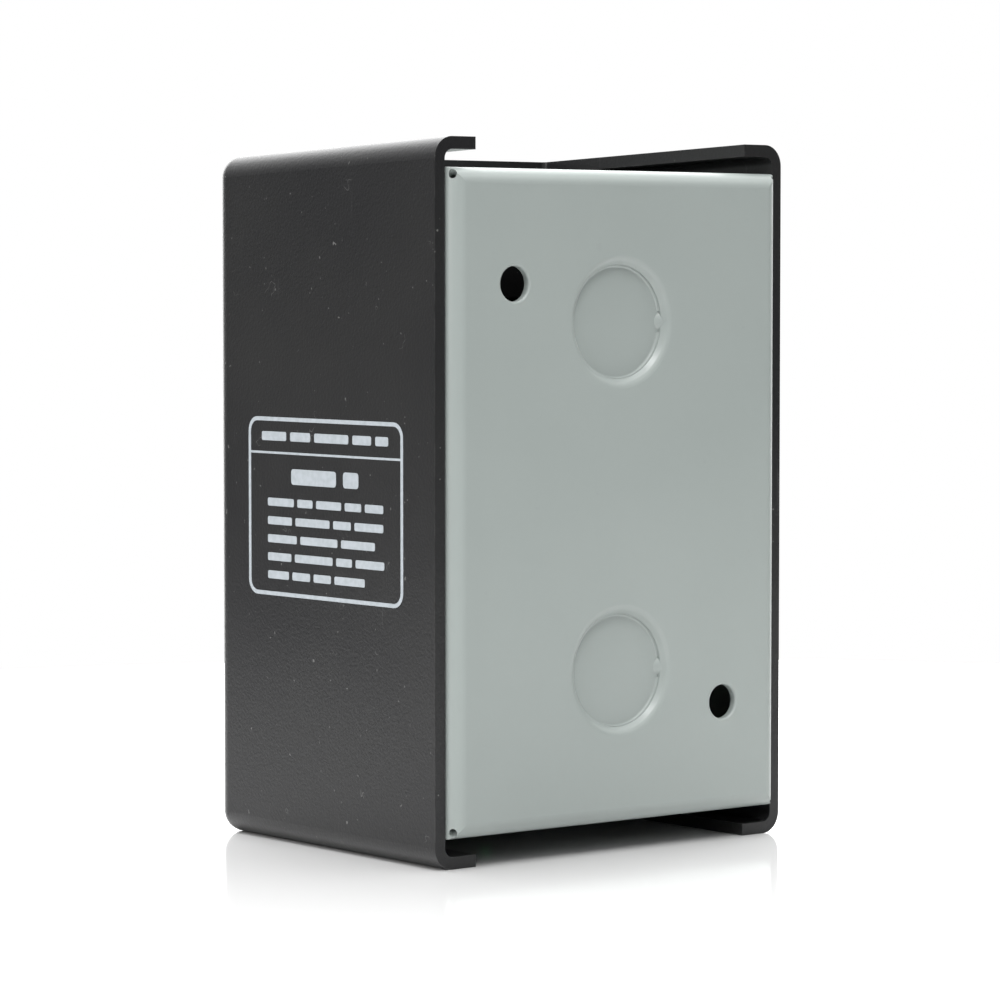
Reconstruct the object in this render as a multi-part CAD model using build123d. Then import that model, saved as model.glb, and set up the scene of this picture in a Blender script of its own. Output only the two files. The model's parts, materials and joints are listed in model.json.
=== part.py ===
"""AC disconnect box: painted back pan, wrap-around cover and a three-pole toggle switch.

Frame: the origin is the centre of the pan's rear face, the face that is screwed to a wall.
+Y points into the wall, the front faces -Y and +Z is up. Lengths are millimetres.
The toggle is modelled in its OFF position (lever down), the cover fully home.
"""
import os
from math import cos, radians, sin, tan

from build123d import *

os.makedirs("parts", exist_ok=True)

# ---------------------------------------------------------------- back pan
PAN_W = 82.6
PAN_H = 127.4
PAN_D = 58.0
PAN_T = 1.5
PAN_BEND = 3.0                  # outer bend radius
SEAM = 0.35                     # open seam between folded walls
RELIEF_R = 0.8                  # round relief where two bends meet
RELIEF_SHIFT = 0.6              # its place sideways from the corner's diagonal
EAR_HALF_W = 11.0
EAR_TIP_Z = 46.5
WALL_HOLE_Z = 0.05              # middle of the two wall holes
WALL_HOLE_DX = 26.6
WALL_HOLE_DZ = 41.65
WALL_HOLE_R = 3.4
WALL_HOLE_REACH = 0.5           # width of the rolled rim round a wall hole
WALL_HOLE_ROLL = 0.5            # radius of its bend
WALL_HOLE_SLOPE = 80.0          # degrees, how steep the rim becomes

# ---------------------------------------------------------------- knockouts (1/2 in trade size)
KO_HOLE_R = 11.1                # opening left when the slug is gone
KO_REACH = 1.9                  # width of the rolled rim round the opening
KO_ROLL = 1.6                   # radius of its bend
KO_SLOPE = 45.0                 # degrees, how steep it becomes
KO_COLLAR_T = 1.3               # sheet drawn inwards behind the rim
KO_COLLAR_DEPTH = 3.1
KO_GAP = 0.04                   # shear gap round the slug, nearly closed by paint
KO_SLUG_DEPTH = 1.85            # how far the slug is pushed in
KO_COVE = 0.5                   # radius where the slug's face turns up to its edge
KO_COVE_LAND = 0.05
KO_TIE_HALF_W = 2.6             # at the rim
KO_TIE_ROOT_HALF_W = 2.0        # at the slug's edge
KO_TIE_LENGTH = 3.2
KO_TIE_R = 3.0                  # radius of the tie across its ramp
REAR_KO_Z = 0.25                # middle of the two rear knockouts
REAR_KO_DZ = 34.05
CONDUIT_KO_X = 17.5
CONDUIT_KO_Y = -28.0

# ---------------------------------------------------------------- ground screw
GROUND_SCREW_Y = -44.0
GROUND_SCREW_R = 2.4
GROUND_FLANGE_R = 5.0
GROUND_FLANGE_T = 1.0
GROUND_HEX_ACROSS = 7.9
GROUND_HEX_H = 3.5
GROUND_SLOT_HALF_W = 0.6
GROUND_SLOT_DEPTH = 1.3
GROUND_TIP_Z = -66.0

# ---------------------------------------------------------------- cover
COVER_HALF_W = 44.0
COVER_HALF_H = 69.5
COVER_REAR_Y = -2.5
COVER_FRONT_Y = -75.5
COVER_T = 2.4
COVER_BEND = 4.2
COVER_TOP_DROP = 2.4            # the top falls this much towards the front
LIP = 9.8
LIP_CORNER_R = 1.0
WINDOW_HALF_W = 7.0
WINDOW_HALF_H = 12.0
WINDOW_R = 2.0
COVER_SCREW_Z = 43.5
COVER_SCREW_HOLE_R = 2.1

# ---------------------------------------------------------------- padlock guard
GUARD_T = 1.5
GUARD_HALF_W = 11.0
GUARD_HALF_H = 25.5
GUARD_EAR_REACH = 17.5
GUARD_EAR_LOW_Z = -7.0
GUARD_EAR_HIGH_Z = 15.0
SHACKLE_R = 4.0
SHACKLE_Y = -86.0
SHACKLE_Z = 6.0
GUARD_RIVET_Z = 21.5
GUARD_RIVET_R = 1.8

# ---------------------------------------------------------------- switch block
POLE_X = (-15.5, 0.0, 15.5)
ENDS = (-1, 1)                  # load end (down), line end (up)
BLOCK_HALF_W = 26.0
BLOCK_HALF_H = 24.0
BASE_HALF_H = 39.0
BASE_REAR_Y = -20.0
BASE_FLOOR_Y = -26.0
SPLIT_Y = -34.0                 # joint between base and housing
BLOCK_FRONT_Y = -58.0
ROOF_REAR_Y = -51.5
CAVITY_HALF_W = 21.6
CAVITY_HALF_H = 20.0
FIN_X = (-25.2, -7.75, 7.75, 25.2)
FIN_HALF_T = 0.8
FIN_FRONT_Y = -44.0
NOSE_HALF_W = 9.0
NOSE_HALF_H = 18.0
NOSE_FRONT_Y = -72.6
NOSE_ROOF_REAR_Y = -71.2
NOSE_FLOOR_Y = -57.0
NOSE_CAVITY_HALF_W = 5.3
NOSE_CAVITY_HALF_H = 16.2
LEVER_SLOT_HALF_W = 5.0
LEVER_SLOT_HALF_H = 6.5
FORK_PASSAGE_LOW_Z = 8.0
BLOCK_RIVET_X = 23.8
BLOCK_RIVET_Z = 22.0
BLOCK_RIVET_R = 1.3

# ---------------------------------------------------------------- mounting strap
STRAP_T = 1.6
STRAP_FRONT_Y = BLOCK_FRONT_Y - STRAP_T
STRAP_MID_HALF_W = 15.0
STRAP_MID_HALF_H = 21.0
STRAP_HALF_W = 10.0
STRAP_HALF_L = 56.0
STRAP_SCREW_Z = 50.5
STRAP_SCREW_R = 1.7
STRAP_RIVET_X = 12.1
STRAP_RIVET_Z = 17.0
STRAP_RIVET_R = 1.4
STRAP_RIVET_TAIL_Y = -53.5
THREAD_CLEARANCE = 0.05         # radial, every screw in its tapped hole
TERMINAL_WINDOW_HALF_W = 5.5
TERMINAL_WINDOW_Z = (24.5, 37.0)

# ---------------------------------------------------------------- toggle and contact carriage
PIVOT_Y = -63.0
HALF_THROW = 13.0               # degrees each side of straight ahead
PIVOT_PIN_R = 1.5
RUNNING = 0.05                  # radial clearance of running fits
HUB_R = 5.5
HUB_HALF_W = 4.9
CRANK_R = 12.0
CRANK_HALF_W = 1.9
CRANK_HALF_T = 2.2
CRANK_PIN_R = 1.5
CRANK_PIN_HALF_L = 4.6
LEVER_TIP_Y = -94.0
LEVER_HALF_W = 4.5
LEVER_HALF_T = 3.5
LEVER_TIP_HALF_T = 4.0
DETENT_BALL_R = 1.6
DETENT_BALL_Y = -56.45
DETENT_BORE_Y = -52.6
GROOVE_FLOOR_R = 4.9
GROOVE_HALF_W = 1.8
THROW_Y = 2 * CRANK_R * sin(radians(HALF_THROW))
CARRIAGE_HALF_W = 21.2
CARRIAGE_HALF_H = 19.6
CARRIAGE_Y = (-50.5, -47.0)
FORK_X = (2.3, 4.8)
FORK_Z = (9.0, 15.6)
FORK_TIP_Y = -68.6
LEG_X = (3.5, 5.0)
LEG_HALF_H = 3.0
STIRRUP_HALF_H = 1.6
STIRRUP_REAR_Y = -33.2

# ---------------------------------------------------------------- contacts and terminals
PLATE_T = 1.2
PLATE_HALF_W = 4.0
PLATE_Z = (8.5, 36.5)
PLATE_FRONT_Y = BASE_FLOOR_Y - PLATE_T
TIP_Z = 11.5
TIP_R = 2.4
TIP_T = 1.0
CLOSED_GAP = 0.05
BAR_T = 1.4
BAR_HALF_W = 3.2
BAR_HALF_L = 14.5
TERMINAL_Z = 30.0
TERMINAL_SCREW_R = 2.0
TERMINAL_SCREW_TIP_Y = -22.0
CLAMP_HALF = 4.2
CLAMP_Y = (-29.5, -28.3)
TERMINAL_POCKET_R = 2.4
MOVING_TIP_Y = PLATE_FRONT_Y - TIP_T - CLOSED_GAP - THROW_Y
BAR_REAR_Y = MOVING_TIP_Y - TIP_T
BAR_FRONT_Y = BAR_REAR_Y - BAR_T


def block(x, y, z):
    """Box given by its (low, high) limits along each axis."""
    size = [limits[1] - limits[0] for limits in (x, y, z)]
    centre = [(limits[1] + limits[0]) / 2 for limits in (x, y, z)]
    return Pos(*centre) * Box(*size)


def rod(start, end, radius):
    """Cylinder from one point to another."""
    path = Vector(*end) - Vector(*start)
    base = Plane(origin=start, z_dir=path)
    return base * Cylinder(radius, path.length, align=(Align.CENTER, Align.CENTER, Align.MIN))


def bore_y(x, z, radius, y):
    """Cylinder along Y between two depths."""
    return rod((x, y[0], z), (x, y[1], z), radius)


def both_ways(half):
    """Limits symmetric about zero."""
    return (-half, half)


def end_span(end, span):
    """Limits along Z for the line end (+1) or the load end (-1)."""
    return tuple(sorted((end * span[0], end * span[1])))


def front_screw(x, z, seat_y, tip_y, radius, head_r, head_h, slot_half_w):
    """Round-head slotted screw driven from the front; seat_y is the face under its head."""
    shank = bore_y(x, z, radius, (tip_y, seat_y))
    tip = shank.edges().group_by(Axis.Y)[-1]
    shank = chamfer(tip, radius * 0.35)
    head = bore_y(x, z, head_r, (seat_y, seat_y - head_h))
    head = fillet(head.edges().group_by(Axis.Y)[0], head_h * 0.55)
    slot_limits = (seat_y - head_h - 1, seat_y - head_h * 0.5)
    slot = block((x - head_r, x + head_r), slot_limits, (z - slot_half_w, z + slot_half_w))
    return shank + (head - slot)


def solid_rivet(x, z, front_y, rear_y, radius):
    """Round-head rivet through a stack from front_y to rear_y, upset at the rear."""
    head_h = radius * 0.6
    shank = bore_y(x, z, radius, (front_y, rear_y))
    front_head = bore_y(x, z, radius * 1.7, (front_y, front_y - head_h))
    front_head = fillet(front_head.edges().group_by(Axis.Y)[0], head_h * 0.7)
    rear_head = bore_y(x, z, radius * 1.5, (rear_y, rear_y + head_h * 0.8))
    rear_head = chamfer(rear_head.edges().group_by(Axis.Y)[-1], head_h * 0.3)
    return front_head + shank + rear_head


def coil(x, z, y_low, y_high, mean_r, wire_r, turns):
    """Compression spring along Y with ends ground flat on its two seats."""
    length = y_high - y_low
    line = Helix(pitch=length / turns, height=length, radius=mean_r)
    section = Plane(origin=line @ 0, z_dir=line % 0) * Circle(wire_r)
    wire = sweep(section, path=line)
    wire = Plane(origin=(x, y_low, z), z_dir=(0, 1, 0)) * wire
    reach = mean_r + 2 * wire_r
    return wire & block((x - reach, x + reach), (y_low, y_high), (z - reach, z + reach))


def one_part(name, shape):
    """Write one node, checking that it is made of sound solids."""
    solids = shape.solids()
    assert solids and all(solid.is_valid and solid.volume > 0 for solid in solids), name
    part = Compound(children=list(solids)) if len(solids) > 1 else solids[0]
    export_step(part, f"parts/{name}.step")


# ---------------------------------------------------------------- knockouts
def knockout_frames():
    """Local frames on the outer faces: Z out of the sheet, the tie on the local +X side."""
    rear = [
        Plane(origin=(0, 0, REAR_KO_Z + side * REAR_KO_DZ), x_dir=(-1, 0, 0), z_dir=(0, 1, 0))
        for side in ENDS
    ]
    conduit = [
        Plane(origin=(x, CONDUIT_KO_Y, end * PAN_H / 2), x_dir=(1, 0, 0), z_dir=(0, 0, end))
        for end in ENDS
        for x in (-CONDUIT_KO_X, CONDUIT_KO_X)
    ]
    return rear, conduit


def rolled_hole(radius, reach, roll, slope):
    """Cutter for a hole whose upper rim is rolled over, then runs down at that slope in degrees."""
    rim_r = radius + reach
    turn = radians(slope)
    shoulder = (rim_r - roll * sin(turn), roll * cos(turn) - roll)
    middle = (rim_r - roll * sin(turn / 2), roll * cos(turn / 2) - roll)
    foot = (radius, shoulder[1] - (shoulder[0] - radius) * tan(turn))
    bottom = -KO_COLLAR_DEPTH - 1
    outline = Polyline((rim_r, 0), (rim_r, 1), (0, 1), (0, bottom), (radius, bottom), foot, shoulder)
    rim = ThreePointArc(shoulder, middle, (rim_r, 0))
    return revolve(Plane.XZ * make_face([outline, rim]), Axis.Z)


def knockout_collar():
    """Sheet drawn inwards round a knockout, before the hole is cut."""
    outline = Polyline(
        (0, -PAN_T / 2),
        (KO_HOLE_R + KO_REACH, -PAN_T / 2),
        (KO_HOLE_R + KO_REACH, -PAN_T),
        (KO_HOLE_R + KO_COLLAR_T, -KO_COLLAR_DEPTH),
        (0, -KO_COLLAR_DEPTH),
        close=True,
    )
    return revolve(Plane.XZ * make_face(outline), Axis.Z)


def knockout_tie():
    """Ramp left from the rim down to the slug's face, rounded across."""
    rim_r = KO_HOLE_R + KO_REACH
    ramp = Polyline(
        (rim_r + 1, 0),
        (rim_r, 0),
        (rim_r - KO_TIE_LENGTH, -KO_SLUG_DEPTH),
        (rim_r + 1, -KO_SLUG_DEPTH),
        close=True,
    )
    wedge = extrude(Plane.XZ * make_face(ramp), KO_TIE_HALF_W, both=True)
    run = Vector(-KO_TIE_LENGTH, 0, -KO_SLUG_DEPTH)
    below = Vector(KO_SLUG_DEPTH, 0, -KO_TIE_LENGTH).normalized() * KO_TIE_R
    start = Vector(rim_r, 0, 0) + below
    return wedge & rod(start - run, start + run * 2, KO_TIE_R)


def knockout_cut():
    """What the punch takes from the sheet: a rolled hole, less the tie."""
    return rolled_hole(KO_HOLE_R, KO_REACH, KO_ROLL, KO_SLOPE) - knockout_tie()


def knockout_slug():
    """Slug pushed part of the way in, its face turning up in a small cove at the edge."""
    edge_r = KO_HOLE_R - KO_GAP
    cove_r = edge_r - KO_COVE_LAND
    flat_r = cove_r - KO_COVE
    middle = KO_COVE * cos(radians(45))
    outline = Polyline(
        (flat_r, -KO_SLUG_DEPTH),
        (0, -KO_SLUG_DEPTH),
        (0, -KO_SLUG_DEPTH - PAN_T),
        (edge_r, -KO_SLUG_DEPTH - PAN_T),
        (edge_r, -KO_SLUG_DEPTH + KO_COVE),
        (cove_r, -KO_SLUG_DEPTH + KO_COVE),
    )
    cove = ThreePointArc(
        (cove_r, -KO_SLUG_DEPTH + KO_COVE),
        (flat_r + middle, -KO_SLUG_DEPTH + KO_COVE - middle),
        (flat_r, -KO_SLUG_DEPTH),
    )
    slug = revolve(Plane.XZ * make_face([outline, cove]), Axis.Z)
    tie_root = block(
        (flat_r - KO_TIE_LENGTH, edge_r + 1),
        both_ways(KO_TIE_ROOT_HALF_W + KO_GAP),
        (-KO_SLUG_DEPTH, 0),
    )
    return slug - tie_root


# ---------------------------------------------------------------- sheet metal
def corner_relief(side, end):
    """Round hole near the diagonal of a corner, where the side bend meets the end bend."""
    inset = PAN_BEND * (1 - cos(radians(45)))
    middle = Vector(side * (PAN_W / 2 - inset + RELIEF_SHIFT), -inset, end * (PAN_H / 2 - inset))
    reach = Vector(side, 1, end) * PAN_T
    return rod(middle - reach, middle + reach, RELIEF_R)


def back_pan():
    """Folded pan with open corner seams, knockouts, wall holes and two strap ears."""
    shell = block(both_ways(PAN_W / 2), (-PAN_D, 0), both_ways(PAN_H / 2))
    shell = fillet(shell.edges().group_by(Axis.Y)[-1], PAN_BEND)
    inside = block(
        both_ways(PAN_W / 2 - PAN_T),
        (-PAN_D - 1, -PAN_T),
        both_ways(PAN_H / 2 - PAN_T),
    )
    inside = fillet(inside.edges().group_by(Axis.Y)[-1], PAN_BEND - PAN_T)
    pan = shell - inside
    wall_hole = rolled_hole(WALL_HOLE_R, WALL_HOLE_REACH, WALL_HOLE_ROLL, WALL_HOLE_SLOPE)
    for end in ENDS:
        ear_root = PAN_H / 2 - PAN_T / 2
        ear_z = end_span(end, (EAR_TIP_Z, ear_root))
        pan += block(both_ways(EAR_HALF_W), (-PAN_D, -PAN_D + PAN_T), ear_z)
        pan -= bore_y(0, end * STRAP_SCREW_Z, STRAP_SCREW_R + THREAD_CLEARANCE, (-PAN_D - 1, -PAN_D + 3))
        pan -= ground_screw_hole() if end < 0 else Part()
        for side in (-1, 1):
            seam_x = side * (PAN_W / 2 - PAN_T - SEAM / 2)
            seam_z = end * PAN_H / 2
            pan -= block(
                (seam_x - SEAM / 2, seam_x + SEAM / 2),
                (-PAN_D - 1, -PAN_BEND),
                (seam_z - PAN_T - 0.2, seam_z + PAN_T + 0.2),
            )
            pan -= corner_relief(side, end)
        wall_z = WALL_HOLE_Z + end * WALL_HOLE_DZ
        pan -= Plane(origin=(end * WALL_HOLE_DX, 0, wall_z), x_dir=(1, 0, 0), z_dir=(0, 1, 0)) * wall_hole
    rear, conduit = knockout_frames()
    for frame in rear + conduit:
        pan += frame * knockout_collar()
        pan -= frame * knockout_cut()
    return pan


def cover_body(inset, rear_y, bend):
    """Solid wedge of the cover, shrunk by inset on every face but the rear."""
    low = -COVER_HALF_H + inset
    high = COVER_HALF_H - inset
    slope = COVER_TOP_DROP / (COVER_REAR_Y - COVER_FRONT_Y)
    front = COVER_FRONT_Y + inset
    side = Polyline(
        (rear_y, low),
        (front, low),
        (front, high - slope * (COVER_REAR_Y - front)),
        (rear_y, high - slope * (COVER_REAR_Y - rear_y)),
        close=True,
    )
    body = extrude(Plane.YZ * make_face(side), COVER_HALF_W - inset, both=True)
    rear_edges = body.edges().group_by(Axis.Y)[-1]
    folded = [edge for edge in body.edges() if edge not in rear_edges]
    return fillet(folded, bend)


def cover():
    """Front face, two side walls and a narrow lip round the open top and bottom."""
    shell = cover_body(0, COVER_REAR_Y, COVER_BEND)
    shell -= cover_body(COVER_T, COVER_REAR_Y + 5, COVER_BEND - COVER_T)
    opening = block(
        both_ways(COVER_HALF_W - LIP),
        (COVER_FRONT_Y + LIP, COVER_REAR_Y + 5),
        both_ways(COVER_HALF_H + 5),
    )
    inner_corners = opening.edges().filter_by(Axis.Z).group_by(Axis.Y)[0]
    shell -= fillet(inner_corners, LIP_CORNER_R)
    window = block(
        both_ways(WINDOW_HALF_W),
        (COVER_FRONT_Y - 1, COVER_FRONT_Y + COVER_T + 1),
        both_ways(WINDOW_HALF_H),
    )
    shell -= fillet(window.edges().filter_by(Axis.Y), WINDOW_R)
    through = (COVER_FRONT_Y - 1, COVER_FRONT_Y + COVER_T + 1)
    for end in ENDS:
        shell -= bore_y(0, end * COVER_SCREW_Z, COVER_SCREW_HOLE_R, through)
        shell -= bore_y(0, end * GUARD_RIVET_Z, GUARD_RIVET_R, through)
    return shell


def padlock_guard():
    """Channel riveted over the window; a shackle through its ears blocks the lever."""
    guard = block(
        both_ways(GUARD_HALF_W),
        (COVER_FRONT_Y - GUARD_T, COVER_FRONT_Y),
        both_ways(GUARD_HALF_H),
    )
    tip_y = COVER_FRONT_Y - GUARD_T - GUARD_EAR_REACH
    for side in (-1, 1):
        ear = block(
            tuple(sorted((side * (GUARD_HALF_W - GUARD_T), side * GUARD_HALF_W))),
            (tip_y, COVER_FRONT_Y),
            (GUARD_EAR_LOW_Z, GUARD_EAR_HIGH_Z),
        )
        guard += fillet(ear.edges().filter_by(Axis.X).group_by(Axis.Y)[0], 4.0)
    window = block(
        both_ways(WINDOW_HALF_W),
        (COVER_FRONT_Y - GUARD_T - 1, COVER_FRONT_Y + 1),
        both_ways(WINDOW_HALF_H),
    )
    guard -= fillet(window.edges().filter_by(Axis.Y), WINDOW_R)
    reach = GUARD_HALF_W + 1
    guard -= rod((-reach, SHACKLE_Y, SHACKLE_Z), (reach, SHACKLE_Y, SHACKLE_Z), SHACKLE_R)
    for end in ENDS:
        through = (COVER_FRONT_Y - GUARD_T - 1, COVER_FRONT_Y + 1)
        guard -= bore_y(0, end * GUARD_RIVET_Z, GUARD_RIVET_R, through)
    return guard


def mounting_strap():
    """Flat yoke that carries the switch and takes the cover screws."""
    thickness = (STRAP_FRONT_Y, BLOCK_FRONT_Y)
    long_plate = block(both_ways(STRAP_HALF_W), thickness, both_ways(STRAP_HALF_L))
    long_plate = fillet(long_plate.edges().filter_by(Axis.Y), 3.0)
    mid_plate = block(both_ways(STRAP_MID_HALF_W), thickness, both_ways(STRAP_MID_HALF_H))
    mid_plate = fillet(mid_plate.edges().filter_by(Axis.Y), 1.5)
    strap = long_plate + mid_plate
    cut = (STRAP_FRONT_Y - 1, BLOCK_FRONT_Y + 1)
    strap -= block(both_ways(NOSE_HALF_W + 0.2), cut, both_ways(NOSE_HALF_H + 0.2))
    for end in ENDS:
        strap -= block(both_ways(TERMINAL_WINDOW_HALF_W), cut, end_span(end, TERMINAL_WINDOW_Z))
        strap -= bore_y(0, end * COVER_SCREW_Z, STRAP_SCREW_R + THREAD_CLEARANCE, cut)
        screw = (0, STRAP_FRONT_Y, end * STRAP_SCREW_Z)
        slot_frame = Plane(origin=screw, x_dir=(1, 0, 0), z_dir=(0, -1, 0))
        slot = extrude(slot_frame * SlotOverall(6.4, 2 * (STRAP_SCREW_R + 0.3)), STRAP_T + 1, both=True)
        strap -= slot
        for side in (-1, 1):
            strap -= bore_y(side * STRAP_RIVET_X, end * STRAP_RIVET_Z, STRAP_RIVET_R, cut)
    return strap


# ---------------------------------------------------------------- moulded switch parts
def switch_base():
    """Rear moulding: contact floor, terminal shelves and barriers between the poles."""
    base = block(both_ways(BLOCK_HALF_W), (SPLIT_Y, BASE_REAR_Y), both_ways(BLOCK_HALF_H))
    base += block(both_ways(BLOCK_HALF_W), (BASE_FLOOR_Y, BASE_REAR_Y), both_ways(BASE_HALF_H))
    base = fillet(base.edges().group_by(Axis.Y)[-1], 1.0)
    base -= block(both_ways(CAVITY_HALF_W), (SPLIT_Y - 1, BASE_FLOOR_Y), both_ways(CAVITY_HALF_H))
    for end in ENDS:
        for x in FIN_X:
            fin_x = (x - FIN_HALF_T, x + FIN_HALF_T)
            fin_z = end_span(end, (BLOCK_HALF_H, BASE_HALF_H))
            base += block(fin_x, (FIN_FRONT_Y, BASE_FLOOR_Y + 1), fin_z)
        for x in POLE_X:
            plate_x = (x - PLATE_HALF_W - RUNNING, x + PLATE_HALF_W + RUNNING)
            base -= block(plate_x, (PLATE_FRONT_Y - RUNNING, BASE_FLOOR_Y), end_span(end, (19.0, 25.0)))
            pocket = (BASE_FLOOR_Y - 1, TERMINAL_SCREW_TIP_Y + 0.5)
            base -= bore_y(x, end * TERMINAL_Z, TERMINAL_POCKET_R, pocket)
        for side in (-1, 1):
            at = (side * BLOCK_RIVET_X, end * BLOCK_RIVET_Z)
            base -= bore_y(*at, BLOCK_RIVET_R, (SPLIT_Y - 1, BASE_REAR_Y + 1))
    return base


def switch_housing():
    """Front moulding: closes the contact chamber and carries the toggle in its nose."""
    housing = block(both_ways(BLOCK_HALF_W), (BLOCK_FRONT_Y, SPLIT_Y), both_ways(BLOCK_HALF_H))
    housing = fillet(housing.edges().group_by(Axis.Y)[0], 1.0)
    nose = block(both_ways(NOSE_HALF_W), (NOSE_FRONT_Y, BLOCK_FRONT_Y + 1), both_ways(NOSE_HALF_H))
    nose = fillet(nose.edges().filter_by(Axis.Y), 2.0)
    housing += fillet(nose.edges().group_by(Axis.Y)[0], 0.5)
    housing -= block(both_ways(CAVITY_HALF_W), (ROOF_REAR_Y, SPLIT_Y + 1), both_ways(CAVITY_HALF_H))
    nose_x = both_ways(NOSE_CAVITY_HALF_W)
    housing -= block(nose_x, (NOSE_ROOF_REAR_Y, NOSE_FLOOR_Y), both_ways(NOSE_CAVITY_HALF_H))
    passage_z = (FORK_PASSAGE_LOW_Z, NOSE_CAVITY_HALF_H)
    housing -= block(nose_x, (NOSE_FLOOR_Y - 1, ROOF_REAR_Y + 1), passage_z)
    slot_x = both_ways(LEVER_SLOT_HALF_W)
    housing -= block(slot_x, (NOSE_FRONT_Y - 1, NOSE_ROOF_REAR_Y + 1), both_ways(LEVER_SLOT_HALF_H))
    housing -= bore_y(0, 0, DETENT_BALL_R + 0.1, (NOSE_FLOOR_Y - 1, DETENT_BORE_Y))
    reach = NOSE_HALF_W + 1
    housing -= rod((-reach, PIVOT_Y, 0), (reach, PIVOT_Y, 0), PIVOT_PIN_R)
    for end in ENDS:
        for side in (-1, 1):
            at = (side * BLOCK_RIVET_X, end * BLOCK_RIVET_Z)
            housing -= bore_y(*at, BLOCK_RIVET_R, (BLOCK_FRONT_Y - 1, SPLIT_Y + 1))
            at = (side * STRAP_RIVET_X, end * STRAP_RIVET_Z)
            housing -= bore_y(*at, STRAP_RIVET_R, (BLOCK_FRONT_Y - 1, STRAP_RIVET_TAIL_Y))
    return housing


def toggle_lever():
    """Lever, hub and crank in one moulding, turned down to OFF."""
    hub = rod((-HUB_HALF_W, PIVOT_Y, 0), (HUB_HALF_W, PIVOT_Y, 0), HUB_R)
    grip_frame = Plane(origin=(0, PIVOT_Y, 0), x_dir=(1, 0, 0), z_dir=(0, -1, 0))
    reach = PIVOT_Y - LEVER_TIP_Y
    root = Rectangle(2 * LEVER_HALF_W, 2 * LEVER_HALF_T)
    tip = Rectangle(2 * LEVER_HALF_W, 2 * LEVER_TIP_HALF_T)
    grip = grip_frame * loft([root, Pos(0, 0, reach) * tip])
    grip = fillet(grip.edges().group_by(Axis.Y)[0], 2.2)
    grip = fillet(grip.edges().filter_by(lambda edge: edge.length > reach * 0.6), 1.2)
    crank = block(
        both_ways(CRANK_HALF_W),
        (PIVOT_Y - CRANK_HALF_T, PIVOT_Y + CRANK_HALF_T),
        (0, CRANK_R + CRANK_PIN_R),
    )
    pin_end = Vector(CRANK_PIN_HALF_L, 0, 0)
    pin_middle = Vector(0, PIVOT_Y, CRANK_R)
    crank_pin = rod(pin_middle - pin_end, pin_middle + pin_end, CRANK_PIN_R)
    lever = hub + grip + crank + crank_pin
    ball_distance = DETENT_BALL_Y - PIVOT_Y
    groove_x = both_ways(GROOVE_HALF_W)
    ring = rod((-GROOVE_HALF_W, PIVOT_Y, 0), (GROOVE_HALF_W, PIVOT_Y, 0), HUB_R + 1)
    ring -= rod((-GROOVE_HALF_W, PIVOT_Y, 0), (GROOVE_HALF_W, PIVOT_Y, 0), GROOVE_FLOOR_R)
    lever -= ring & block(groove_x, (PIVOT_Y + 3.2, PIVOT_Y + HUB_R + 1), both_ways(HUB_R))
    for side in (-1, 1):
        notch_y = PIVOT_Y + ball_distance * cos(radians(HALF_THROW))
        notch_z = side * ball_distance * sin(radians(HALF_THROW))
        lever -= Pos(0, notch_y, notch_z) * Sphere(DETENT_BALL_R + 0.3)
    lever -= rod((-HUB_R, PIVOT_Y, 0), (HUB_R, PIVOT_Y, 0), PIVOT_PIN_R + RUNNING)
    return lever.rotate(Axis((0, PIVOT_Y, 0), (1, 0, 0)), HALF_THROW)


def contact_carriage():
    """Slider with a fork for the crank pin and one stirrup per moving contact."""
    carriage = block(both_ways(CARRIAGE_HALF_W), CARRIAGE_Y, both_ways(CARRIAGE_HALF_H))
    pin_y = PIVOT_Y - CRANK_R * sin(radians(HALF_THROW))
    pin_low = CRANK_R * cos(radians(HALF_THROW)) - CRANK_PIN_R - 0.2
    pin_high = CRANK_R + CRANK_PIN_R + 0.2
    for side in (-1, 1):
        fork_x = tuple(sorted((side * FORK_X[0], side * FORK_X[1])))
        carriage += block(fork_x, (FORK_TIP_Y, CARRIAGE_Y[0] + 1), FORK_Z)
    slot_y = (pin_y - CRANK_PIN_R - RUNNING, pin_y + CRANK_PIN_R + RUNNING)
    carriage -= block(both_ways(FORK_X[1] + 1), slot_y, (pin_low, pin_high))
    for x in POLE_X:
        for side in (-1, 1):
            leg_x = tuple(sorted((x + side * LEG_X[0], x + side * LEG_X[1])))
            carriage += block(leg_x, (CARRIAGE_Y[1] - 1, STIRRUP_REAR_Y), both_ways(LEG_HALF_H))
        stirrup_x = (x - LEG_X[1], x + LEG_X[1])
        carriage += block(stirrup_x, (BAR_REAR_Y, STIRRUP_REAR_Y), both_ways(STIRRUP_HALF_H))
    return carriage


# ---------------------------------------------------------------- contacts and terminals
def terminal_plates(end):
    """Brass straps from the fixed contacts out to the clamp screws."""
    plates = Part()
    for x in POLE_X:
        plate = block(
            (x - PLATE_HALF_W, x + PLATE_HALF_W),
            (PLATE_FRONT_Y, BASE_FLOOR_Y),
            end_span(end, PLATE_Z),
        )
        plate = fillet(plate.edges().filter_by(Axis.Y), 1.0)
        plates += plate - bore_y(x, end * TERMINAL_Z, TERMINAL_SCREW_R + THREAD_CLEARANCE, (-30, -20))
    return plates


def clamp_plates():
    """Pressure plates under the terminal screws."""
    plates = Part()
    for end in ENDS:
        for x in POLE_X:
            z = end * TERMINAL_Z
            plate = block((x - CLAMP_HALF, x + CLAMP_HALF), CLAMP_Y, (z - CLAMP_HALF, z + CLAMP_HALF))
            plate = chamfer(plate.edges().filter_by(Axis.Y), 0.8)
            plates += plate - bore_y(x, z, TERMINAL_SCREW_R + 0.15, (-30, -27))
    return plates


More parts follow.
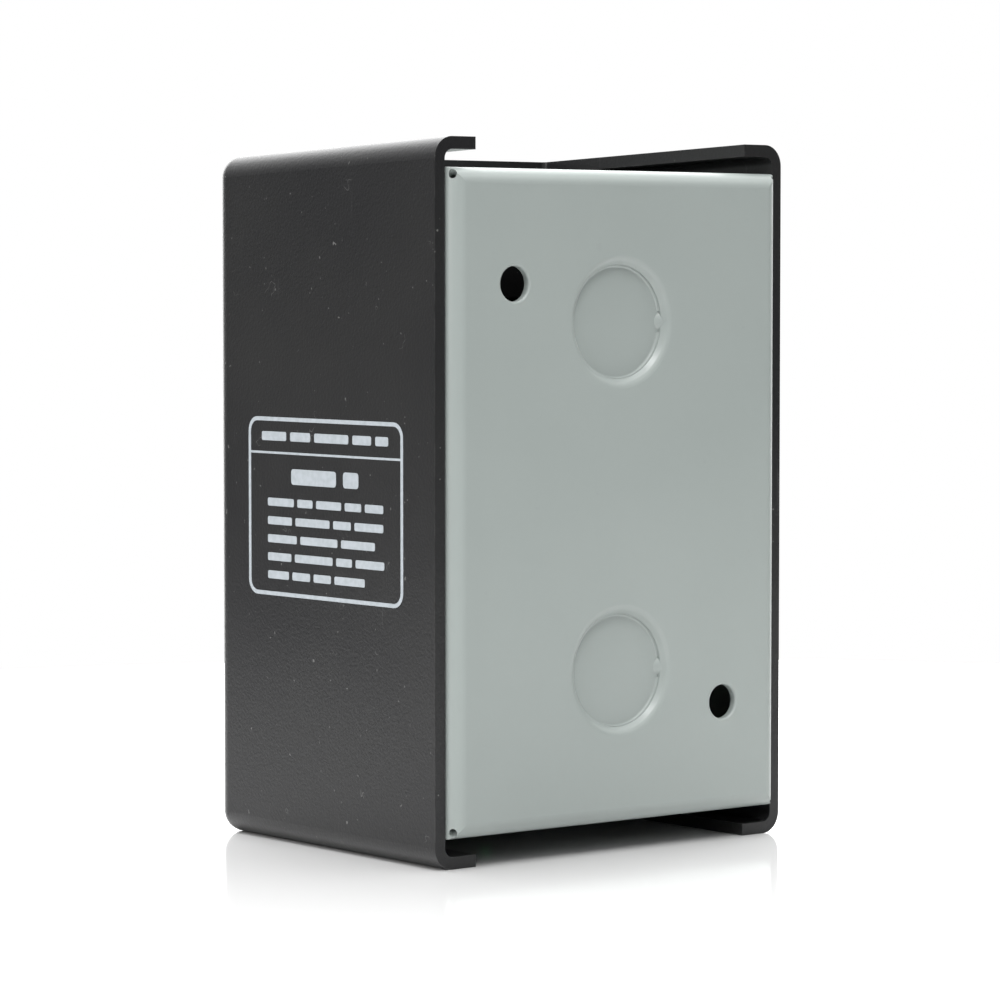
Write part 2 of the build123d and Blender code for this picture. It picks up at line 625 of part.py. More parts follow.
def terminal_screws():
    """Slotted clamp screws, backed off enough to admit a conductor."""
    screws = Part()
    for end in ENDS:
        for x in POLE_X:
            screws += front_screw(
                x,
                end * TERMINAL_Z,
                seat_y=CLAMP_Y[0],
                tip_y=TERMINAL_SCREW_TIP_Y,
                radius=TERMINAL_SCREW_R,
                head_r=3.8,
                head_h=2.4,
                slot_half_w=0.5,
            )
    return screws


def contact_tips(rear_y):
    """Silver buttons, two for each pole, with their rear faces at rear_y."""
    tips = Part()
    for end in ENDS:
        for x in POLE_X:
            tips += bore_y(x, end * TIP_Z, TIP_R, (rear_y - TIP_T, rear_y))
    return tips


def contact_bars():
    """Bridging bars that join the line and load contacts of each pole."""
    bars = Part()
    for x in POLE_X:
        bar = block((x - BAR_HALF_W, x + BAR_HALF_W), (BAR_FRONT_Y, BAR_REAR_Y), both_ways(BAR_HALF_L))
        bars += fillet(bar.edges().filter_by(Axis.Y), 2.0)
    return bars


def contact_springs():
    """Springs that press each bridging bar against its stirrup."""
    springs = Part()
    for x in POLE_X:
        springs += coil(x, 0, CARRIAGE_Y[1], BAR_FRONT_Y, mean_r=2.0, wire_r=0.3, turns=6)
    return springs


# ---------------------------------------------------------------- ground screw
def ground_screw_hole():
    """Tapped hole in the pan's bottom wall."""
    hole_r = GROUND_SCREW_R + THREAD_CLEARANCE
    return rod((0, GROUND_SCREW_Y, -PAN_H / 2 - 1), (0, GROUND_SCREW_Y, -PAN_H / 2 + PAN_T + 1), hole_r)


def ground_screw():
    """Green hex screw with a wide flange, driven from inside the pan."""
    seat = -PAN_H / 2 + PAN_T
    flange_top = seat + GROUND_FLANGE_T
    head_top = flange_top + GROUND_HEX_H
    screw = rod((0, GROUND_SCREW_Y, GROUND_TIP_Z), (0, GROUND_SCREW_Y, seat), GROUND_SCREW_R)
    screw += rod((0, GROUND_SCREW_Y, seat), (0, GROUND_SCREW_Y, flange_top), GROUND_FLANGE_R)
    hexagon = RegularPolygon(GROUND_HEX_ACROSS / 2, 6, major_radius=False)
    head = extrude(Plane(origin=(0, GROUND_SCREW_Y, flange_top)) * hexagon, GROUND_HEX_H)
    slot_y = (GROUND_SCREW_Y - GROUND_HEX_ACROSS, GROUND_SCREW_Y + GROUND_HEX_ACROSS)
    head -= block(both_ways(GROUND_SLOT_HALF_W), slot_y, (head_top - GROUND_SLOT_DEPTH, head_top + 1))
    return screw + head


# ---------------------------------------------------------------- remaining fasteners
def strap_screws():
    """Two screws that hold the strap on the pan's ears."""
    screws = Part()
    for end in ENDS:
        screws += front_screw(
            0,
            end * STRAP_SCREW_Z,
            seat_y=STRAP_FRONT_Y,
            tip_y=-PAN_D + PAN_T + 4,
            radius=STRAP_SCREW_R,
            head_r=3.3,
            head_h=2.2,
            slot_half_w=0.45,
        )
    return screws


def cover_screws():
    """Two long screws from the cover's front into the strap."""
    screws = Part()
    for end in ENDS:
        screws += front_screw(
            0,
            end * COVER_SCREW_Z,
            seat_y=COVER_FRONT_Y,
            tip_y=BLOCK_FRONT_Y + 3,
            radius=STRAP_SCREW_R,
            head_r=3.6,
            head_h=2.2,
            slot_half_w=0.45,
        )
    return screws


def block_rivets():
    """Four rivets that close the base against the housing."""
    rivets = Part()
    for end in ENDS:
        for side in (-1, 1):
            at = (side * BLOCK_RIVET_X, end * BLOCK_RIVET_Z)
            rivets += solid_rivet(*at, BLOCK_FRONT_Y, BASE_REAR_Y, BLOCK_RIVET_R)
    return rivets


def strap_rivets():
    """Four drive rivets that hold the strap on the housing."""
    rivets = Part()
    for end in ENDS:
        for side in (-1, 1):
            at = (side * STRAP_RIVET_X, end * STRAP_RIVET_Z)
            shank = bore_y(*at, STRAP_RIVET_R, (STRAP_FRONT_Y, STRAP_RIVET_TAIL_Y))
            head = bore_y(*at, STRAP_RIVET_R * 1.8, (STRAP_FRONT_Y - 0.9, STRAP_FRONT_Y))
            rivets += shank + fillet(head.edges().group_by(Axis.Y)[0], 0.6)
    return rivets


def guard_rivets():
    """Two rivets through the guard and the cover's front."""
    rivets = Part()
    for end in ENDS:
        at = (0, end * GUARD_RIVET_Z)
        rivets += solid_rivet(*at, COVER_FRONT_Y - GUARD_T, COVER_FRONT_Y + COVER_T, GUARD_RIVET_R)
    return rivets


def knockout_slugs(frames):
    """One slug in each given frame."""
    slugs = Part()
    for frame in frames:
        slugs += frame * knockout_slug()
    return slugs


rear_frames, conduit_frames = knockout_frames()
NODES = {
    "back_pan": back_pan(),
    "rear_knockouts": knockout_slugs(rear_frames),
    "conduit_knockouts": knockout_slugs(conduit_frames),
    "ground_screw": ground_screw(),
    "cover": cover(),
    "cover_screws": cover_screws(),
    "padlock_guard": padlock_guard(),
    "guard_rivets": guard_rivets(),
    "mounting_strap": mounting_strap(),
    "strap_screws": strap_screws(),
    "strap_rivets": strap_rivets(),
    "switch_base": switch_base(),
    "switch_housing": switch_housing(),
    "block_rivets": block_rivets(),
    "line_terminals": terminal_plates(1),
    "load_terminals": terminal_plates(-1),
    "clamp_plates": clamp_plates(),
    "terminal_screws": terminal_screws(),
    "fixed_contact_tips": contact_tips(PLATE_FRONT_Y),
    "pivot_pin": rod((-NOSE_HALF_W, PIVOT_Y, 0), (NOSE_HALF_W, PIVOT_Y, 0), PIVOT_PIN_R),
    "detent_ball": Pos(0, DETENT_BALL_Y, 0) * Sphere(DETENT_BALL_R),
    "detent_spring": coil(0, 0, DETENT_BALL_Y + DETENT_BALL_R, DETENT_BORE_Y, 1.0, 0.2, 3),
    "toggle_lever": toggle_lever(),
    "contact_carriage": contact_carriage(),
    "moving_contacts": contact_bars(),
    "moving_contact_tips": contact_tips(MOVING_TIP_Y),
    "contact_springs": contact_springs(),
}

for node, shape in NODES.items():
    one_part(node, shape)
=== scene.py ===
"""Looks of the AC disconnect box: painted sheet metal, a printed notice, a switch block, soft light."""
import json
import random
from math import cos, radians, sin

import bmesh
import bpy
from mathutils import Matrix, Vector


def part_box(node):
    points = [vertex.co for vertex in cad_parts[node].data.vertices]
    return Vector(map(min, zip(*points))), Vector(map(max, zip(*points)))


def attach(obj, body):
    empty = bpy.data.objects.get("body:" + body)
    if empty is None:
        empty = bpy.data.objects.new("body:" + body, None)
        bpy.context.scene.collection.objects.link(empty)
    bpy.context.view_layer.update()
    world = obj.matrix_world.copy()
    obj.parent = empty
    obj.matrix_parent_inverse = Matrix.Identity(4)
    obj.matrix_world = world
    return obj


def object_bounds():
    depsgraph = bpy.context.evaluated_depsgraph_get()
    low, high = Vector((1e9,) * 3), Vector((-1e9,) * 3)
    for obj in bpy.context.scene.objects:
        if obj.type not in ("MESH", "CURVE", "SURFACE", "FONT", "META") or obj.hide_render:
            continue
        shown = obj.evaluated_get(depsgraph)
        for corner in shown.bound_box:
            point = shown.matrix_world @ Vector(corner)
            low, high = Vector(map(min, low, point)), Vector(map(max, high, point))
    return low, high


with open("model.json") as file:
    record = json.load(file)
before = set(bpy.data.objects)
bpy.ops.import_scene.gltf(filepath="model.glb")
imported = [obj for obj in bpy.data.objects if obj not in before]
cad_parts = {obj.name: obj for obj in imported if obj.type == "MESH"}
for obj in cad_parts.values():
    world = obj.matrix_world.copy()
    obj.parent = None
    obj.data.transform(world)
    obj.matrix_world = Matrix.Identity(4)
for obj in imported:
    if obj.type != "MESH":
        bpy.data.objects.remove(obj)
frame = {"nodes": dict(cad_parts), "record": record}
cad_low, cad_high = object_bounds()

MM = 0.001

# Camera, round the middle of the box
AZIMUTH = 141.46
ELEVATION = 3.16
DISTANCE = 799.1 * MM
AIM = Vector((0.27, -37.7, -2.0)) * MM
SENSOR = 36.0
LENS = 142.16

# Printed notice on the cover's +X wall, as limits along Y and Z
PRINT_THICKNESS = 0.04 * MM
NOTICE_Y = (-63.6 * MM, -12.4 * MM)
NOTICE_Z = (-20.25 * MM, 15.3 * MM)
NOTICE_LINE = 0.8 * MM
NOTICE_CORNER = 3.0 * MM
NOTICE_DIVIDER_Z = 8.2 * MM
NOTICE_DIVIDER_LINE = 0.45 * MM
# Rows of placeholder bars, in mm: middle height, bar height, start and end from the notice's front side
NOTICE_ROWS = (
    (11.5, 1.8, 4.6, 46.5),
    (3.6, 3.1, 14.6, 36.9),
    (-1.6, 1.6, 6.6, 44.9),
    (-5.3, 1.6, 6.6, 44.9),
    (-8.9, 1.6, 6.6, 42.2),
    (-12.5, 1.6, 6.6, 45.2),
    (-16.1, 1.6, 6.6, 38.9),
)
WORD_LENGTHS = (3, 8)           # in bar heights, shortest and longest placeholder word
WORD_GAP = 0.75                 # in bar heights
WORD_CORNER = 0.22              # in bar heights
WORD_SEED = 7

# On and off marks beside the lever
MARK_Z = 33.0 * MM
MARK_SIZE = 5.0 * MM
MARK_LINE = 1.0 * MM
MARK_CORNER = 0.2 * MM
MARK_SIDES = 48

# Studio: a round white table, a white backdrop beyond it, a softbox above, dim sides
TABLE_RADIUS = 0.40
TABLE_SIDES = 96
BELOW_LEVEL = 0.10              # brightness of the studio below the table's edge
SIDE_LEVEL = 0.28               # near the horizon
CEILING_LEVEL = 1.6             # and straight above
BACKDROP_LEVEL = 3.0
BACKDROP_AZIMUTH = AZIMUTH + 180
BACKDROP_ELEVATION = 15.0
FLAG_AZIMUTH = 218              # a black flag keeps the rear edges dark
FLAG_SHADE = 0.3
LIT_POINT = Vector((0, -36, 0)) * MM
# Softboxes: name, azimuth, elevation, distance and side in metres, watts
SOFTBOXES = (
    ("overhead", BACKDROP_AZIMUTH, 78, 1.2, 0.9, 15.0),
    ("key", 150, 57, 1.2, 0.4, 6.5),
    ("side", 90, 14, 1.5, 0.6, 6.0),
)


# ---------------------------------------------------------------- node helpers
class Shader:
    """A material under construction: adds nodes and links them by name."""

    def __init__(self, name):
        self.material = bpy.data.materials.new(name)
        self.material.use_nodes = True
        self.tree = self.material.node_tree
        self.surface = self.tree.nodes["Principled BSDF"]
        self.place = self.add("ShaderNodeTexCoord").outputs["Object"]

    def add(self, kind, inputs=None, **settings):
        node = self.tree.nodes.new(kind)
        for key, value in settings.items():
            setattr(node, key, value)
        for key, value in (inputs or {}).items():
            self.feed(node.inputs[key], value)
        return node

    def feed(self, socket, value):
        if isinstance(value, bpy.types.NodeSocket):
            self.tree.links.new(value, socket)
        else:
            socket.default_value = value

    def set(self, **values):
        for key, value in values.items():
            self.feed(self.surface.inputs[key.replace("_", " ")], value)

    def stretched(self, scale):
        mapping = self.add("ShaderNodeMapping", {"Vector": self.place, "Scale": scale})
        return mapping.outputs["Vector"]

    def noise(self, scale, detail=2.0, roughness=0.5, distortion=0.0, at=None):
        inputs = {
            "Vector": at or self.place,
            "Scale": scale,
            "Detail": detail,
            "Roughness": roughness,
            "Distortion": distortion,
        }
        return self.add("ShaderNodeTexNoise", inputs).outputs["Fac"]

    def remap(self, value, low, high, to_low=0.0, to_high=1.0):
        inputs = {
            "Value": value,
            "From Min": low,
            "From Max": high,
            "To Min": to_low,
            "To Max": to_high,
        }
        return self.add("ShaderNodeMapRange", inputs).outputs["Result"]

    def math(self, operation, first, second):
        node = self.add("ShaderNodeMath", operation=operation)
        self.feed(node.inputs[0], first)
        self.feed(node.inputs[1], second)
        return node.outputs[0]

    def blend(self, factor, first, second):
        node = self.add("ShaderNodeMix", data_type="RGBA")
        self.feed(node.inputs["Factor"], factor)
        self.feed(node.inputs[6], first)
        self.feed(node.inputs[7], second)
        return node.outputs[2]

    def bump(self, height, distance, strength=1.0, under=None):
        inputs = {"Height": height, "Distance": distance, "Strength": strength}
        if under is not None:
            inputs["Normal"] = under
        return self.add("ShaderNodeBump", inputs).outputs["Normal"]

    def edge_wear(self, radius, low, high):
        """Mask that rises where the surface turns sharply within the radius."""
        rounded = self.add("ShaderNodeBevel", {"Radius": radius}, samples=4).outputs["Normal"]
        flat = self.add("ShaderNodeNewGeometry").outputs["Normal"]
        node = self.add("ShaderNodeVectorMath", operation="DOT_PRODUCT")
        self.feed(node.inputs[0], rounded)
        self.feed(node.inputs[1], flat)
        turn = self.math("SUBTRACT", 1.0, node.outputs["Value"])
        return self.remap(turn, low, high)


def rgba(red, green, blue):
    return (red, green, blue, 1.0)


# ---------------------------------------------------------------- materials
def powder_coat():
    """Black powder coat: fine pebble texture, cloudy tone, dust specks and lint, faint rubs."""
    s = Shader("cover_paint")
    cloud = s.remap(s.noise(22.0, 4.0), 0.3, 0.7)
    tone = s.blend(cloud, rgba(0.010, 0.010, 0.011), rgba(0.014, 0.014, 0.014))
    speck = s.remap(s.noise(900.0, 1.0), 0.765, 0.81)
    tone = s.blend(s.math("MULTIPLY", speck, 0.38), tone, rgba(0.32, 0.32, 0.31))
    contour = s.math("ABSOLUTE", s.math("SUBTRACT", s.noise(420.0, 1.0), 0.5), 0.0)
    thread = s.remap(contour, 0.004, 0.010, 1.0, 0.0)
    lint = s.math("MULTIPLY", thread, s.remap(s.noise(110.0, 1.0), 0.70, 0.73))
    tone = s.blend(s.math("MULTIPLY", lint, 0.4), tone, rgba(0.30, 0.30, 0.29))
    streak = s.remap(s.noise(9.0, 2.0, 0.4, 0.6, at=s.stretched((60.0, 60.0, 5.0))), 0.72, 0.76)
    tone = s.blend(s.math("MULTIPLY", streak, 0.12), tone, rgba(0.16, 0.16, 0.16))
    worn = s.math("MULTIPLY", s.edge_wear(0.5 * MM, 0.08, 0.5), s.remap(s.noise(300.0, 3.0), 0.45, 0.65))
    tone = s.blend(s.math("MULTIPLY", worn, 0.35), tone, rgba(0.14, 0.14, 0.14))
    pebble = s.bump(s.noise(1700.0, 2.0), 0.06 * MM, 0.8)
    grain = s.bump(s.noise(4600.0, 2.0), 0.02 * MM, 0.6, under=pebble)
    rough = s.remap(cloud, 0.0, 1.0, 0.30, 0.36)
    s.set(Base_Color=tone, Roughness=rough, Normal=grain)
    return s.material


def pan_enamel():
    """Grey-green enamel: soft orange peel, slight mottling, a few marks from handling."""
    s = Shader("pan_paint")
    cloud = s.remap(s.noise(14.0, 5.0), 0.3, 0.7)
    tone = s.blend(cloud, rgba(0.283, 0.316, 0.304), rgba(0.305, 0.338, 0.325))
    dirt = s.remap(s.noise(260.0, 3.0), 0.70, 0.80)
    tone = s.blend(s.math("MULTIPLY", dirt, 0.10), tone, rgba(0.16, 0.17, 0.16))
    worn = s.math("MULTIPLY", s.edge_wear(0.4 * MM, 0.1, 0.6), s.remap(s.noise(220.0, 3.0), 0.5, 0.7))
    tone = s.blend(s.math("MULTIPLY", worn, 0.4), tone, rgba(0.52, 0.53, 0.52))
    peel = s.bump(s.noise(520.0, 2.0), 0.05 * MM, 0.30)
    fine = s.bump(s.noise(2600.0, 2.0), 0.01 * MM, 0.25, under=peel)
    rough = s.remap(s.noise(35.0, 3.0), 0.3, 0.7, 0.28, 0.34)
    s.set(Base_Color=tone, Roughness=rough, Normal=fine)
    return s.material


def plated_steel(name, colour, rough_low, rough_high, brushed=(1.0, 1.0, 12.0)):
    """Plated steel: patchy passivate tint, fine drawing lines, uneven gloss."""
    s = Shader(name)
    cloud = s.remap(s.noise(120.0, 4.0), 0.3, 0.7)
    warm = tuple(channel * factor for channel, factor in zip(colour, (1.04, 1.0, 0.90)))
    cool = tuple(channel * factor for channel, factor in zip(colour, (0.90, 0.94, 1.0)))
    tone = s.blend(cloud, rgba(*cool), rgba(*warm))
    lines = s.noise(700.0, 3.0, at=s.stretched(brushed))
    rough = s.remap(lines, 0.3, 0.7, rough_low, rough_high)
    s.set(Base_Color=tone, Metallic=1.0, Roughness=rough, Normal=s.bump(lines, 0.01 * MM, 0.25))
    return s.material


def ground_green():
    """Green dye over plated steel."""
    s = Shader("ground_green")
    cloud = s.remap(s.noise(160.0, 3.0), 0.3, 0.7)
    tone = s.blend(cloud, rgba(0.015, 0.20, 0.055), rgba(0.03, 0.30, 0.09))
    rough = s.remap(s.noise(500.0, 2.0), 0.3, 0.7, 0.28, 0.42)
    s.set(Base_Color=tone, Metallic=0.7, Roughness=rough, Normal=s.bump(s.noise(900.0), 0.01 * MM, 0.3))
    return s.material


def moulded(name, dark, light, rough_low, rough_high, grain_height):
    """Moulded plastic: slight flow marks and a moulded-in grain."""
    s = Shader(name)
    flow = s.remap(s.noise(60.0, 4.0, 0.5, 0.8, at=s.stretched((1.0, 1.0, 0.4))), 0.3, 0.7)
    fleck = s.remap(s.noise(1400.0, 1.0), 0.66, 0.74)
    tone = s.blend(flow, rgba(*dark), rgba(*light))
    tone = s.blend(s.math("MULTIPLY", fleck, 0.12), tone, rgba(0.25, 0.25, 0.25))
    rough = s.remap(flow, 0.0, 1.0, rough_low, rough_high)
    s.set(Base_Color=tone, Roughness=rough, Normal=s.bump(s.noise(1800.0, 2.0), grain_height, 0.5))
    return s.material


def print_ink():
    """White screen ink, thin in places and slightly raised."""
    s = Shader("print_ink")
    thin = s.remap(s.noise(700.0, 3.0), 0.35, 0.62)
    tone = s.blend(thin, rgba(0.36, 0.395, 0.42), rgba(0.415, 0.45, 0.48))
    s.set(Base_Color=tone, Roughness=s.remap(thin, 0.0, 1.0, 0.5, 0.38))
    s.set(Normal=s.bump(s.noise(2600.0, 2.0), 0.01 * MM, 0.3))
    return s.material


def table_acrylic():
    """White acrylic with a soft gloss."""
    s = Shader("table_white")
    cloud = s.remap(s.noise(3.0, 2.0), 0.3, 0.7)
    tone = s.blend(cloud, rgba(0.70, 0.70, 0.70), rgba(0.72, 0.72, 0.72))
    s.set(Base_Color=tone, Roughness=0.08, Specular_IOR_Level=0.4)
    return s.material


SLOT_MATERIALS = {
    "cover_paint": powder_coat(),
    "pan_paint": pan_enamel(),
    "ground_green": ground_green(),
    "zinc_steel": plated_steel("zinc_steel", (0.36, 0.37, 0.37), 0.26, 0.42),
    "strap_steel": plated_steel("strap_steel", (0.36, 0.37, 0.37), 0.30, 0.45),
    "clamp_steel": plated_steel("clamp_steel", (0.40, 0.40, 0.39), 0.28, 0.42),
    "rivet_steel": plated_steel("rivet_steel", (0.30, 0.30, 0.295), 0.25, 0.40),
    "spring_steel": plated_steel("spring_steel", (0.42, 0.42, 0.43), 0.18, 0.30),
    "rivet_brass": plated_steel("rivet_brass", (0.70, 0.50, 0.22), 0.25, 0.40),
    "terminal_brass": plated_steel("terminal_brass", (0.76, 0.56, 0.26), 0.22, 0.38, (12.0, 1.0, 1.0)),
    "contact_silver": plated_steel("contact_silver", (0.82, 0.81, 0.78), 0.25, 0.40),
    "contact_copper": plated_steel("contact_copper", (0.80, 0.42, 0.27), 0.25, 0.40),
    "phenolic": moulded("phenolic", (0.016, 0.016, 0.017), (0.026, 0.025, 0.025), 0.38, 0.5, 0.02 * MM),
    "carriage_plastic": moulded(
        "carriage_plastic", (0.34, 0.12, 0.05), (0.42, 0.16, 0.07), 0.4, 0.5, 0.02 * MM
    ),
    "lever_plastic": moulded(
        "lever_plastic", (0.014, 0.014, 0.015), (0.02, 0.02, 0.021), 0.2, 0.28, 0.008 * MM
    ),
}


def paint_cad_nodes():
    """Each CAD node takes the material of its record slot."""
    for part in frame["record"]["subparts"]:
        node = frame["nodes"][part["node"]]
        material = SLOT_MATERIALS[part["material_slot"]]
        if not node.data.materials:
            node.data.materials.append(material)
        for index in range(len(node.data.materials)):
            node.data.materials[index] = material


# ---------------------------------------------------------------- printed pieces
def arc_points(centre, radius, start, end, steps):
    """Points of a circular arc, angles in degrees."""
    return [
        (
            centre[0] + radius * cos(radians(start + (end - start) * i / steps)),
            centre[1] + radius * sin(radians(start + (end - start) * i / steps)),
        )
        for i in range(steps + 1)
    ]


def circle_points(centre, radius, sides):
    """Points of a full circle, the first not repeated."""
    return arc_points(centre, radius, 0, 360 - 360 / sides, sides - 1)


def box_points(low, high):
    """Corners of a rectangle from two opposite ones."""
    return (low, (high[0], low[1]), high, (low[0], high[1]))


def rounded_box(low, high, radius, steps=8):
    """Outline of a rounded rectangle from its two corners."""
    corners = (
        ((high[0] - radius, high[1] - radius), 0),
        ((low[0] + radius, high[1] - radius), 90),
        ((low[0] + radius, low[1] + radius), 180),
        ((high[0] - radius, low[1] + radius), 270),
    )
    outline = []
    for centre, start in corners:
        outline += arc_points(centre, radius, start, start + 90, steps)
    return outline


def add_plate(mesh, outline, lift):
    """Filled outline, given a thickness by lift."""
    bottom = [mesh.verts.new(point) for point in outline]
    top = [mesh.verts.new(Vector(point) + lift) for point in outline]
    mesh.faces.new(top)
    mesh.faces.new(list(reversed(bottom)))
    add_wall(mesh, bottom, top)


def add_ring(mesh, outer, inner, lift):
    """Closed band between two outlines with the same number of points."""
    rows = [[mesh.verts.new(point) for point in outline] for outline in (outer, inner)]
    tops = [[mesh.verts.new(Vector(point) + lift) for point in outline] for outline in (outer, inner)]
    count = len(outer)
    for i in range(count):
        j = (i + 1) % count
        mesh.faces.new((tops[0][i], tops[0][j], tops[1][j], tops[1][i]))
        mesh.faces.new((rows[0][j], rows[0][i], rows[1][i], rows[1][j]))
    add_wall(mesh, rows[0], tops[0])
    add_wall(mesh, list(reversed(rows[1])), list(reversed(tops[1])))


def add_wall(mesh, bottom, top):
    count = len(bottom)
    for i in range(count):
        j = (i + 1) % count
        mesh.faces.new((bottom[i], bottom[j], top[j], top[i]))


def finish_print(mesh, name):
    """Turns the built mesh into an inked piece that rides on the cover."""
    bmesh.ops.recalc_face_normals(mesh, faces=mesh.faces)
    data = bpy.data.meshes.new(name)
    mesh.to_mesh(data)
    mesh.free()
    piece = bpy.data.objects.new(name, data)
    bpy.context.scene.collection.objects.link(piece)
    data.materials.append(INK)
    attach(piece, "cover_assembly")


def on_side_wall(outline):
    """Outline in (Y, Z) laid on the cover's +X wall."""
    return [(WALL_X, y, z) for y, z in outline]


def on_front(outline):
    """Outline in (X, Z) laid on the cover's front face."""
    return [(x, FRONT_Y, z) for x, z in outline]


def shrink(low, high, amount):
    return (low[0] + amount, low[1] + amount), (high[0] - amount, high[1] - amount)


def notice_frame():
    """Rounded border and divider of the side notice."""
    mesh = bmesh.new()
    lift = Vector((PRINT_THICKNESS, 0, 0))
    low = (NOTICE_Y[0], NOTICE_Z[0])
    high = (NOTICE_Y[1], NOTICE_Z[1])
    outer = on_side_wall(rounded_box(low, high, NOTICE_CORNER))
    inner = on_side_wall(rounded_box(*shrink(low, high, NOTICE_LINE), NOTICE_CORNER - NOTICE_LINE))
    add_ring(mesh, outer, inner, lift)
    divider = box_points(
        (NOTICE_Y[0] + NOTICE_LINE, NOTICE_DIVIDER_Z - NOTICE_DIVIDER_LINE / 2),
        (NOTICE_Y[1] - NOTICE_LINE, NOTICE_DIVIDER_Z + NOTICE_DIVIDER_LINE / 2),
    )
    add_plate(mesh, on_side_wall(divider), lift)
    finish_print(mesh, "notice_frame")


def notice_bars():
    """Placeholder bars where the notice's lines stand, cut into word lengths."""
    draw = random.Random(WORD_SEED)
    mesh = bmesh.new()
    lift = Vector((PRINT_THICKNESS, 0, 0))
    for middle, height, first, last in NOTICE_ROWS:
        start = first
        while start < last - height:
            end = min(start + height * draw.uniform(*WORD_LENGTHS), last)
            if last - end < 2 * height:
                end = last
            low = (NOTICE_Y[0] + start * MM, (middle - height / 2) * MM)
            high = (NOTICE_Y[0] + end * MM, (middle + height / 2) * MM)
            bar = rounded_box(low, high, height * WORD_CORNER * MM, steps=3)
            add_plate(mesh, on_side_wall(bar), lift)
            start = end + height * WORD_GAP
    finish_print(mesh, "notice_bars")


def switch_marks():
    """A bar above the lever for on and a ring below it for off."""
    mesh = bmesh.new()
    lift = Vector((0, -PRINT_THICKNESS, 0))
    half = MARK_SIZE / 2
    bar = rounded_box((-MARK_LINE / 2, MARK_Z - half), (MARK_LINE / 2, MARK_Z + half), MARK_CORNER)
    add_plate(mesh, on_front(bar), lift)
    outer = circle_points((0, -MARK_Z), half, MARK_SIDES)
    inner = circle_points((0, -MARK_Z), half - MARK_LINE, MARK_SIDES)
    add_ring(mesh, on_front(outer), on_front(inner), lift)
    finish_print(mesh, "on_off_marks")


# ---------------------------------------------------------------- stage
def make_floor(level):
    """Round white table under the box."""
    mesh = bmesh.new()
    rim = circle_points((0, 0), TABLE_RADIUS, TABLE_SIDES)
    mesh.faces.new([mesh.verts.new((x, y, level)) for x, y in rim])
    data = bpy.data.meshes.new("floor")
    mesh.to_mesh(data)
    mesh.free()
    data.materials.append(table_acrylic())
    floor = bpy.data.objects.new("floor", data)
    bpy.context.scene.collection.objects.link(floor)


def direction(azimuth, elevation):
    """Unit vector towards a camera at that azimuth; azimuth 0 looks along +Y."""
    a, e = radians(azimuth), radians(elevation)
    return Vector((sin(a) * cos(e), -cos(a) * cos(e), sin(e)))


def aim_at(thing, target):
    thing.rotation_euler = (target - thing.location).to_track_quat("-Z", "Y").to_euler()


def make_camera():
    data = bpy.data.cameras.new("camera")
    data.sensor_width = SENSOR
    data.lens = LENS
    data.clip_start = 0.01
    data.clip_end = 50.0
    camera = bpy.data.objects.new("camera", data)
    camera.location = AIM + direction(AZIMUTH, ELEVATION) * DISTANCE
    aim_at(camera, AIM)
    bpy.context.scene.collection.objects.link(camera)
    bpy.context.scene.camera = camera


def area_light(name, azimuth, elevation, distance, size, watts):
    """Square white softbox aimed at the middle of the box."""
    data = bpy.data.lights.new(name, "AREA")
    data.shape = "SQUARE"
    data.size = size
    data.energy = watts
    light = bpy.data.objects.new(name, data)
    light.location = direction(azimuth, elevation) * distance
    aim_at(light, LIT_POINT)
    bpy.context.scene.collection.objects.link(light)


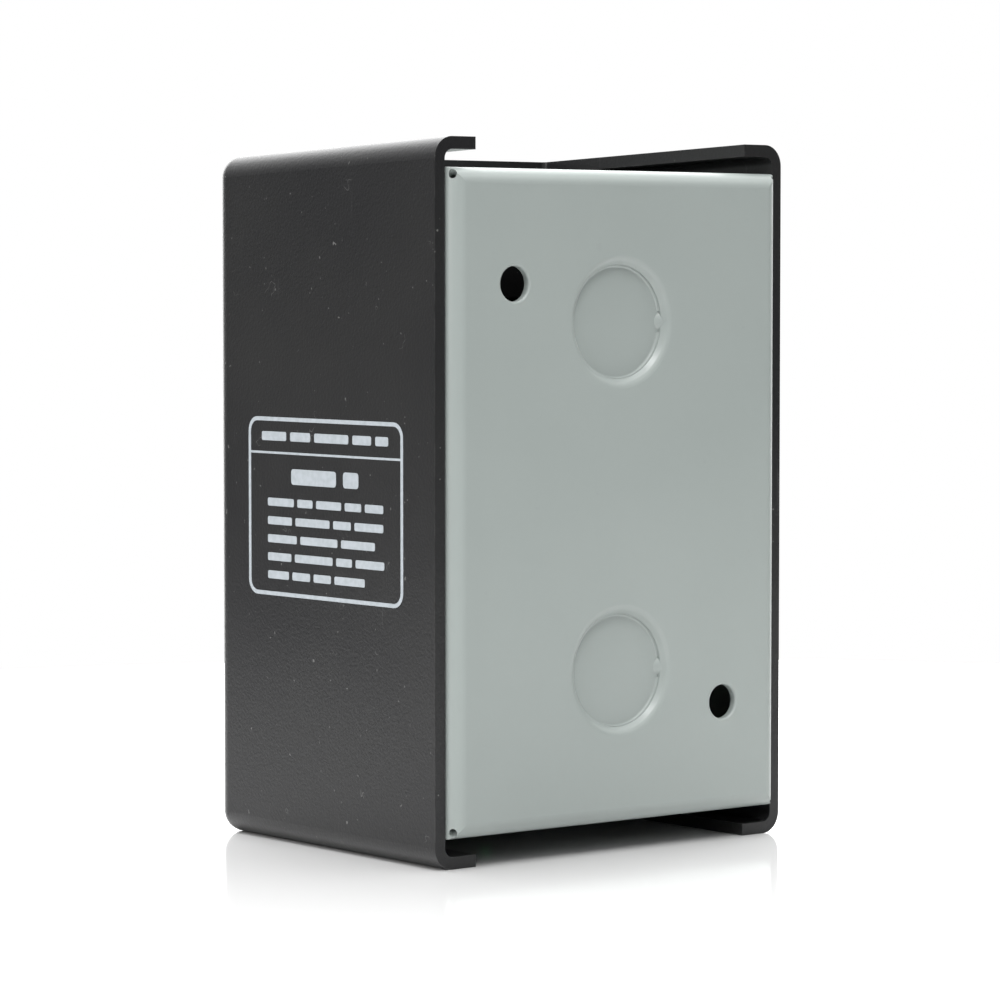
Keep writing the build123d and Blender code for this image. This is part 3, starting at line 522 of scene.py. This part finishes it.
def make_studio():
    """Surroundings: dim sides, bright ceiling and backdrop, and plain white where seen directly."""
    world = bpy.data.worlds.new("studio")
    world.use_nodes = True
    tree = world.node_tree
    background = tree.nodes["Background"]
    background.inputs["Color"].default_value = rgba(1.0, 1.0, 1.0)

    def add(kind, inputs, **settings):
        node = tree.nodes.new(kind)
        for key, value in settings.items():
            setattr(node, key, value)
        for key, value in inputs.items():
            if isinstance(value, bpy.types.NodeSocket):
                tree.links.new(value, node.inputs[key])
            else:
                node.inputs[key].default_value = value
        return node

    def ramp(value, start, end, low, high):
        inputs = {"Value": value, "From Min": start, "From Max": end, "To Min": low, "To Max": high}
        return add("ShaderNodeMapRange", inputs, interpolation_type="SMOOTHSTEP").outputs["Result"]

    def facing(azimuth, elevation):
        inputs = {0: way, 1: direction(azimuth, elevation)}
        return add("ShaderNodeVectorMath", inputs, operation="DOT_PRODUCT").outputs["Value"]

    way = tree.nodes.new("ShaderNodeTexCoord").outputs["Generated"]
    height = add("ShaderNodeSeparateXYZ", {"Vector": way}).outputs["Z"]
    upper = ramp(height, 0.0, 0.9, SIDE_LEVEL, CEILING_LEVEL)
    lower = ramp(height, -0.15, 0.0, BELOW_LEVEL, SIDE_LEVEL)
    around = add("ShaderNodeMath", {0: upper, 1: lower}, operation="MULTIPLY").outputs[0]
    around = add("ShaderNodeMath", {0: around, 1: SIDE_LEVEL}, operation="DIVIDE").outputs[0]
    backdrop = ramp(facing(BACKDROP_AZIMUTH, BACKDROP_ELEVATION), 0.6, 0.85, 0.0, BACKDROP_LEVEL)
    flag = ramp(facing(FLAG_AZIMUTH, 0.0), 0.6, 0.95, 1.0, FLAG_SHADE)
    level = add("ShaderNodeMath", {0: around, 1: backdrop}, operation="MAXIMUM").outputs[0]
    level = add("ShaderNodeMath", {0: level, 1: flag}, operation="MULTIPLY").outputs[0]
    seen = tree.nodes.new("ShaderNodeLightPath").outputs["Is Camera Ray"]
    strength = add("ShaderNodeMix", {"Factor": seen, "A": level, "B": 1.0}).outputs["Result"]
    tree.links.new(strength, background.inputs["Strength"])
    bpy.context.scene.world = world


def make_light():
    """One softbox overhead, a key high over the rear, and a fill at the printed side."""
    make_studio()
    for softbox in SOFTBOXES:
        area_light(*softbox)


WALL_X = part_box("cover")[1].x
FRONT_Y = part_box("cover")[0].y
INK = print_ink()

paint_cad_nodes()
notice_frame()
notice_bars()
switch_marks()
make_floor(cad_low[2])
make_camera()
make_light()
bpy.context.scene.view_settings.view_transform = "Standard"
